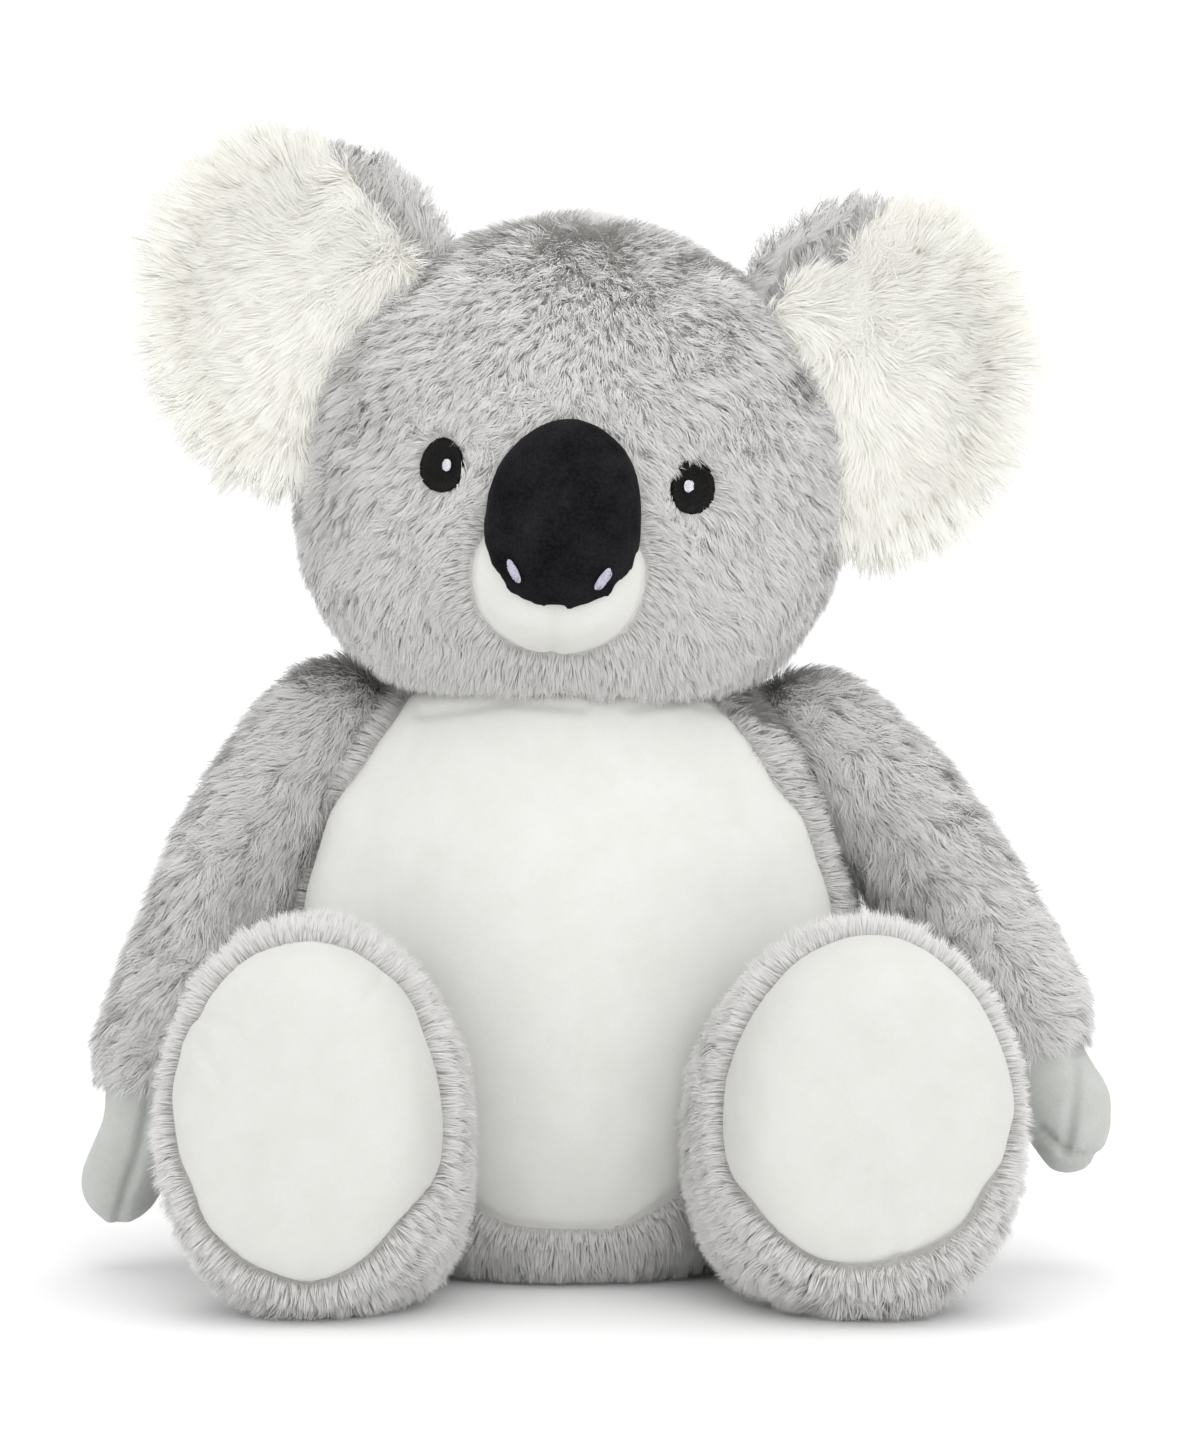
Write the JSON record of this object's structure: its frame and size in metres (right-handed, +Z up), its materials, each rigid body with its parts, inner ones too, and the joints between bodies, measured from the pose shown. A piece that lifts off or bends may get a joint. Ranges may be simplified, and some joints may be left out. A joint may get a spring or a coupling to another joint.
{
  "type": "plush koala",
  "caption": "Seated stuffed koala with a blank front panel, large ears, and head, arms, legs and ears that give at their seams.",
  "frame": {"origin": "middle of the bounding box, on the surface that the toy sits on", "axes": "+Z up, the toy faces -Y, +X to the right of someone who looks at its face"},
  "size_m": [0.3498, 0.2384, 0.3853],
  "materials": {
    "grey_plush": "plush with a pile of about 9 mm",
    "white_plush": "long shaggy pile",
    "velboa": "short smooth pile",
    "hand_velboa": "short smooth pile",
    "nose_velboa": "short black pile",
    "black_thread": "embroidery thread",
    "white_thread": "embroidery thread",
    "pale_thread": "embroidery thread",
    "filling": "loose fibre"
  },
  "bodies": {
    "torso": {"torso_cover": "grey_plush", "belly_panel": "velboa", "torso_filling": "filling"},
    "head": {"head_cover": "grey_plush", "head_filling": "filling", "nose_cover": "nose_velboa", "nose_filling": "filling", "muzzle_left": "velboa", "muzzle_right": "velboa", "eye_left": "black_thread", "eye_right": "black_thread", "eye_highlight_left": "white_thread", "eye_highlight_right": "white_thread", "nostril_left": "pale_thread", "nostril_right": "pale_thread"},
    "ear_left": {"ear_front_left": "white_plush", "ear_back_left": "grey_plush"},
    "ear_right": {"ear_front_right": "white_plush", "ear_back_right": "grey_plush"},
    "arm_left": {"arm_cover_left": "grey_plush", "hand_cover_left": "hand_velboa", "arm_filling_left": "filling"},
    "arm_right": {"arm_cover_right": "grey_plush", "hand_cover_right": "hand_velboa", "arm_filling_right": "filling"},
    "leg_left": {"leg_cover_left": "grey_plush", "sole_left": "velboa", "leg_filling_left": "filling"},
    "leg_right": {"leg_cover_right": "grey_plush", "sole_right": "velboa", "leg_filling_right": "filling"}
  },
  "joints": [
    {"name": "neck_turn", "type": "hinge", "parent": "torso", "child": "head", "pos_m": [-0.00952, 0.04785, 0.2], "axis": [0, 0, 1], "range_deg": [-20, 20], "stiffness_Nm_per_rad": 0.3},
    {"name": "ear_left_fold", "type": "hinge", "parent": "head", "child": "ear_left", "pos_m": [-0.08201, 0.02973, 0.31549], "axis": [0.4922, 0, 0.8705], "range_deg": [-18, 18], "stiffness_Nm_per_rad": 0.03},
    {"name": "ear_right_fold", "type": "hinge", "parent": "head", "child": "ear_right", "pos_m": [0.0714, 0.02973, 0.29622], "axis": [0.2593, 0, -0.9658], "range_deg": [-18, 18], "stiffness_Nm_per_rad": 0.03},
    {"name": "arm_left_lift", "type": "hinge", "parent": "torso", "child": "arm_left", "pos_m": [-0.07952, 0.04785, 0.19], "axis": [0, 1, 0], "range_deg": [0, 50], "stiffness_Nm_per_rad": 0.05},
    {"name": "arm_right_lift", "type": "hinge", "parent": "torso", "child": "arm_right", "pos_m": [0.06048, 0.04785, 0.185], "axis": [0, -1, 0], "range_deg": [0, 50], "stiffness_Nm_per_rad": 0.05},
    {"name": "leg_left_lift", "type": "hinge", "parent": "torso", "child": "leg_left", "pos_m": [-0.06152, 0.00385, 0.052], "axis": [-1, 0, 0], "range_deg": [0, 25], "stiffness_Nm_per_rad": 0.2},
    {"name": "leg_right_lift", "type": "hinge", "parent": "torso", "child": "leg_right", "pos_m": [0.04248, 0.00385, 0.052], "axis": [-1, 0, 0], "range_deg": [0, 25], "stiffness_Nm_per_rad": 0.2}
  ]
}
